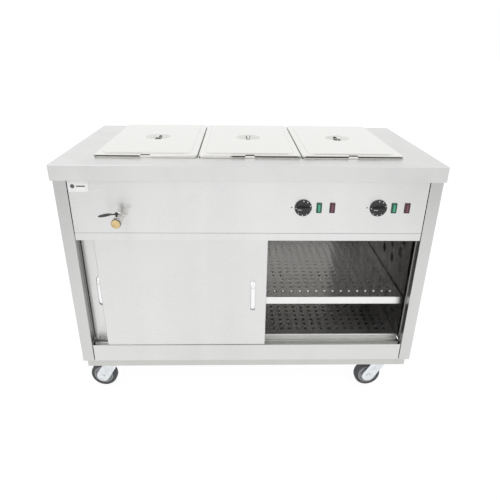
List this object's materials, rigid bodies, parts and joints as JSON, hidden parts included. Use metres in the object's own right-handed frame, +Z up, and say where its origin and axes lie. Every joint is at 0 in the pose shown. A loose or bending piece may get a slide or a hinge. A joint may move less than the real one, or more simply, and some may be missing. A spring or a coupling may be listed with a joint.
{
  "type": "steam table unit",
  "caption": "Mobile stainless steam table: lidded food pans hang in a heated tank under the worktop, above a hot cupboard with sliding doors, on swivel castors.",
  "frame": {"origin": "On the floor, at the centre of the whole unit's bounding box, which the drain valve in front and the trailing castors make slightly larger than the worktop.", "axes": "+X to the right seen from the front, where the controls are; +Y from the front to the back; +Z up."},
  "size_m": [1.2064, 0.698, 0.9153],
  "materials": {
    "outer_steel": "brushed stainless sheet",
    "inner_steel": "plain stainless sheet inside the cupboard",
    "pan_steel": "pressed bright stainless",
    "chrome_handle": "polished chrome",
    "knob_plastic": "black moulded plastic with pale dial marks",
    "green_lens": "translucent green lens",
    "red_lens": "translucent dark red lens",
    "valve_brass": "turned brass, part nickel plated",
    "lever_steel": "plated lever",
    "castor_zinc": "bright zinc plated pressings",
    "castor_tyre": "dark grey rubber tyre",
    "castor_hub": "grey moulded wheel centre",
    "nylon": "white nylon rollers",
    "thermostat_case": "cream insulating case",
    "element_sheath": "dark heating element sheath",
    "cable_black": "black cable and plug"
  },
  "bodies": {
    "cabinet": {"worktop": "outer_steel", "left_side_panel": "outer_steel", "right_side_panel": "outer_steel", "back_panel": "outer_steel", "control_fascia": "outer_steel", "door_header": "outer_steel", "front_plinth": "outer_steel", "base_tray": "outer_steel", "divider_bar_left": "outer_steel", "divider_bar_right": "outer_steel", "bain_marie_tank": "inner_steel", "bottom_door_track": "inner_steel", "bottom_shelf": "inner_steel", "left_liner": "inner_steel", "right_liner": "inner_steel", "rear_liner": "inner_steel", "thermostat_left": "thermostat_case", "power_lamp_left": "green_lens", "heat_lamp_left": "red_lens", "thermostat_right": "thermostat_case", "power_lamp_right": "green_lens", "heat_lamp_right": "red_lens", "tank_element": "element_sheath", "cupboard_element": "element_sheath", "mains_cable": "cable_black", "drain_valve_body": "valve_brass", "castor_plate_front_left": "castor_zinc", "castor_plate_front_right": "castor_zinc", "castor_plate_rear_left": "castor_zinc", "castor_plate_rear_right": "castor_zinc"},
    "right_door": {"right_door": "outer_steel", "right_door_handle": "chrome_handle"},
    "left_door": {"left_door": "outer_steel", "left_door_handle": "chrome_handle"},
    "mid_shelf": {"mid_shelf": "inner_steel"},
    "right_door_roller_a": {"right_door_roller_a": "nylon"},
    "right_door_roller_b": {"right_door_roller_b": "nylon"},
    "left_door_roller_a": {"left_door_roller_a": "nylon"},
    "left_door_roller_b": {"left_door_roller_b": "nylon"},
    "knob_left": {"knob_left": "knob_plastic"},
    "knob_right": {"knob_right": "knob_plastic"},
    "drain_lever": {"drain_valve_lever": "lever_steel"},
    "left_pan": {"left_pan": "pan_steel"},
    "left_lid": {"left_lid": "pan_steel"},
    "middle_pan": {"middle_pan": "pan_steel"},
    "middle_lid": {"middle_lid": "pan_steel"},
    "right_pan": {"right_pan": "pan_steel"},
    "right_lid": {"right_lid": "pan_steel"},
    "castor_fork_front_left": {"castor_fork_front_left": "castor_zinc"},
    "castor_wheel_front_left": {"castor_hub_front_left": "castor_hub", "castor_tyre_front_left": "castor_tyre"},
    "castor_fork_front_right": {"castor_fork_front_right": "castor_zinc"},
    "castor_wheel_front_right": {"castor_hub_front_right": "castor_hub", "castor_tyre_front_right": "castor_tyre"},
    "castor_fork_rear_left": {"castor_fork_rear_left": "castor_zinc"},
    "castor_wheel_rear_left": {"castor_hub_rear_left": "castor_hub", "castor_tyre_rear_left": "castor_tyre"},
    "castor_fork_rear_right": {"castor_fork_rear_right": "castor_zinc"},
    "castor_wheel_rear_right": {"castor_hub_rear_right": "castor_hub", "castor_tyre_rear_right": "castor_tyre"}
  },
  "joints": [
    {"name": "right_door_slide", "type": "slide", "parent": "cabinet", "child": "right_door", "axis": [1, 0, 0], "range_m": [0, 0.4942]},
    {"name": "right_door_roller_a_spin", "type": "hinge", "parent": "right_door", "child": "right_door_roller_a", "pos_m": [-0.41628, -0.28202, 0.688], "axis": [0, 1, 0], "continuous": true},
    {"name": "right_door_roller_b_spin", "type": "hinge", "parent": "right_door", "child": "right_door_roller_b", "pos_m": [-0.01628, -0.28202, 0.688], "axis": [0, 1, 0], "continuous": true},
    {"name": "left_door_slide", "type": "slide", "parent": "cabinet", "child": "left_door", "axis": [1, 0, 0], "range_m": [0, 0.5494]},
    {"name": "left_door_roller_a_spin", "type": "hinge", "parent": "left_door", "child": "left_door_roller_a", "pos_m": [-0.47148, -0.24802, 0.688], "axis": [0, 1, 0], "continuous": true},
    {"name": "left_door_roller_b_spin", "type": "hinge", "parent": "left_door", "child": "left_door_roller_b", "pos_m": [-0.07148, -0.24802, 0.688], "axis": [0, 1, 0], "continuous": true},
    {"name": "mid_shelf_lift", "type": "slide", "parent": "cabinet", "child": "mid_shelf", "axis": [0, 0, 1], "range_m": [0, 0.04]},
    {"name": "knob_left_turn", "type": "hinge", "parent": "cabinet", "child": "knob_left", "pos_m": [0.16892, -0.29102, 0.767], "axis": [0, 1, 0], "range_deg": [0, 270]},
    {"name": "knob_right_turn", "type": "hinge", "parent": "cabinet", "child": "knob_right", "pos_m": [0.40492, -0.29102, 0.767], "axis": [0, 1, 0], "range_deg": [0, 270]},
    {"name": "drain_lever_turn", "type": "hinge", "parent": "cabinet", "child": "drain_lever", "pos_m": [-0.40178, -0.32702, 0.754], "axis": [0, 0, 1], "range_deg": [-11.5, 78.5]},
    {"name": "left_pan_lift", "type": "slide", "parent": "cabinet", "child": "left_pan", "axis": [0, 0, 1], "range_m": [0, 0.25]},
    {"name": "left_lid_lift", "type": "slide", "parent": "left_pan", "child": "left_lid", "axis": [0, 0, 1], "range_m": [0, 0.15]},
    {"name": "middle_pan_lift", "type": "slide", "parent": "cabinet", "child": "middle_pan", "axis": [0, 0, 1], "range_m": [0, 0.25]},
    {"name": "middle_lid_lift", "type": "slide", "parent": "middle_pan", "child": "middle_lid", "axis": [0, 0, 1], "range_m": [0, 0.15]},
    {"name": "right_pan_lift", "type": "slide", "parent": "cabinet", "child": "right_pan", "axis": [0, 0, 1], "range_m": [0, 0.25]},
    {"name": "right_lid_lift", "type": "slide", "parent": "right_pan", "child": "right_lid", "axis": [0, 0, 1], "range_m": [0, 0.15]},
    {"name": "castor_swivel_front_left", "type": "hinge", "parent": "cabinet", "child": "castor_fork_front_left", "pos_m": [-0.51078, -0.20502, 0.12], "axis": [0, 0, 1], "continuous": true},
    {"name": "castor_spin_front_left", "type": "hinge", "parent": "castor_fork_front_left", "child": "castor_wheel_front_left", "pos_m": [-0.55262, -0.20136, 0.05], "axis": [0.0872, 0.9962, 0], "continuous": true},
    {"name": "castor_swivel_front_right", "type": "hinge", "parent": "cabinet", "child": "castor_fork_front_right", "pos_m": [0.51722, -0.20502, 0.12], "axis": [0, 0, 1], "continuous": true},
    {"name": "castor_spin_front_right", "type": "hinge", "parent": "castor_fork_front_right", "child": "castor_wheel_front_right", "pos_m": [0.47532, -0.20795, 0.05], "axis": [-0.0698, 0.9976, 0], "continuous": true},
    {"name": "castor_swivel_rear_left", "type": "hinge", "parent": "cabinet", "child": "castor_fork_rear_left", "pos_m": [-0.51078, 0.25298, 0.12], "axis": [0, 0, 1], "continuous": true},
    {"name": "castor_spin_rear_left", "type": "hinge", "parent": "castor_fork_rear_left", "child": "castor_wheel_rear_left", "pos_m": [-0.55273, 0.25078, 0.05], "axis": [-0.0523, 0.9986, 0], "continuous": true},
    {"name": "castor_swivel_rear_right", "type": "hinge", "parent": "cabinet", "child": "castor_fork_rear_right", "pos_m": [0.51722, 0.25298, 0.12], "axis": [0, 0, 1], "continuous": true},
    {"name": "castor_spin_rear_right", "type": "hinge", "parent": "castor_fork_rear_right", "child": "castor_wheel_rear_right", "pos_m": [0.47532, 0.25591, 0.05], "axis": [0.0698, 0.9976, 0], "continuous": true}
  ],
  "couplings": [
    {"joint": "right_door_roller_a_spin", "follows": "right_door_slide", "rad_per_m": 90.909},
    {"joint": "right_door_roller_b_spin", "follows": "right_door_slide", "rad_per_m": 90.909},
    {"joint": "left_door_roller_a_spin", "follows": "left_door_slide", "rad_per_m": 90.909},
    {"joint": "left_door_roller_b_spin", "follows": "left_door_slide", "rad_per_m": 90.909}
  ]
}
